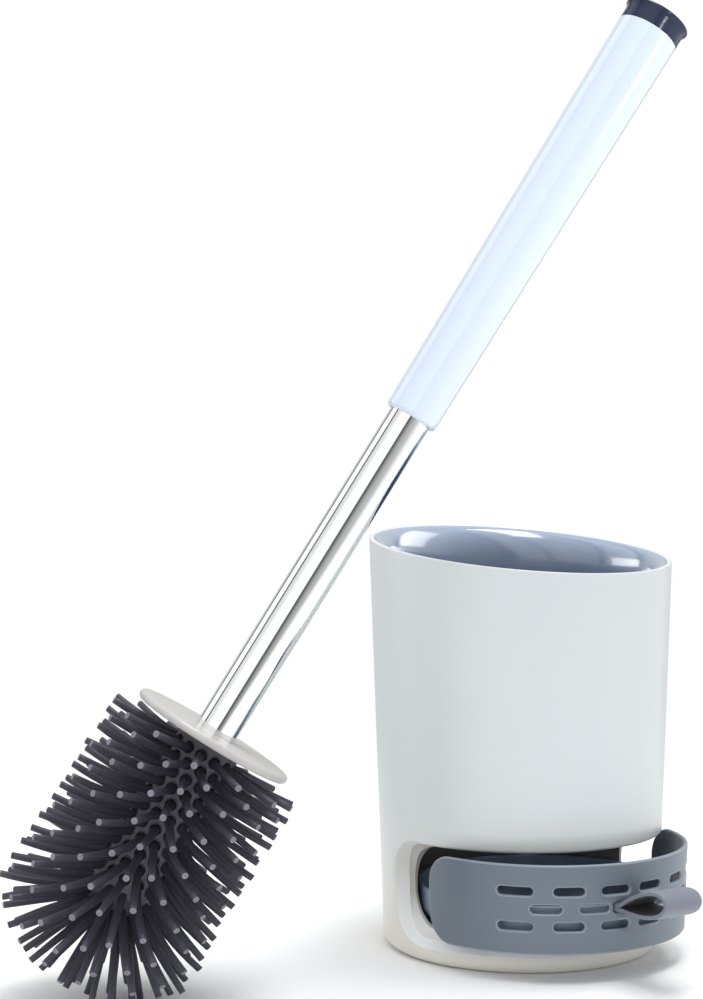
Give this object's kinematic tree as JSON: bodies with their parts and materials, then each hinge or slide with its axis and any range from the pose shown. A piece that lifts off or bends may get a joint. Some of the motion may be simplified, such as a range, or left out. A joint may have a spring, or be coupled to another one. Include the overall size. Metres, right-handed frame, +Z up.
{
  "type": "toilet brush set",
  "caption": "Round tapered toilet brush cup with an oblique rim, a glossy liner, a slide-out slotted drip tray with a pull loop, and a long-handled silicone brush standing beside it.",
  "frame": {"origin": "centre of the cup's flat bottom, on the surface it stands on", "axes": "+Z up along the cup's axis; -Y is the front, the way the tray pulls out; +X to the right seen from the front"},
  "size_m": [0.2619, 0.1493, 0.3395],
  "materials": {
    "outer_shell": "off-white moulded plastic with a satin skin",
    "inner_liner": "polished slate blue plastic",
    "tray_pan": "smooth light slate plastic",
    "tray_front": "satin slate grey plastic",
    "pull_loop": "soft slate silicone strip",
    "end_cap": "glossy dark slate plastic",
    "handle_grip": "polished cool white plastic",
    "steel_tube": "mirror chromed steel",
    "tube_plug": "plain moulded plastic",
    "splash_plate": "smooth warm off-white plastic",
    "head_core": "stiff dark moulded plastic",
    "bristle_sleeve": "dark slate silicone"
  },
  "bodies": {
    "holder": {"outer_shell": "outer_shell", "inner_liner": "inner_liner"},
    "tray": {"tray_pan": "tray_pan", "tray_front": "tray_front", "pull_loop": "pull_loop"},
    "brush": {"end_cap": "end_cap", "handle_grip": "handle_grip", "steel_tube": "steel_tube", "tube_plug": "tube_plug", "splash_plate": "splash_plate", "head_core": "head_core", "bristle_sleeve": "bristle_sleeve"}
  },
  "joints": [
    {"name": "tray_slide", "type": "slide", "parent": "holder", "child": "tray", "axis": [0, -1, 0], "range_m": [-0.0145, 0.088]},
    {"name": "brush_lift", "type": "slide", "parent": "holder", "child": "brush", "axis": [0, 0, 1], "range_m": [0, 0.25]}
  ]
}
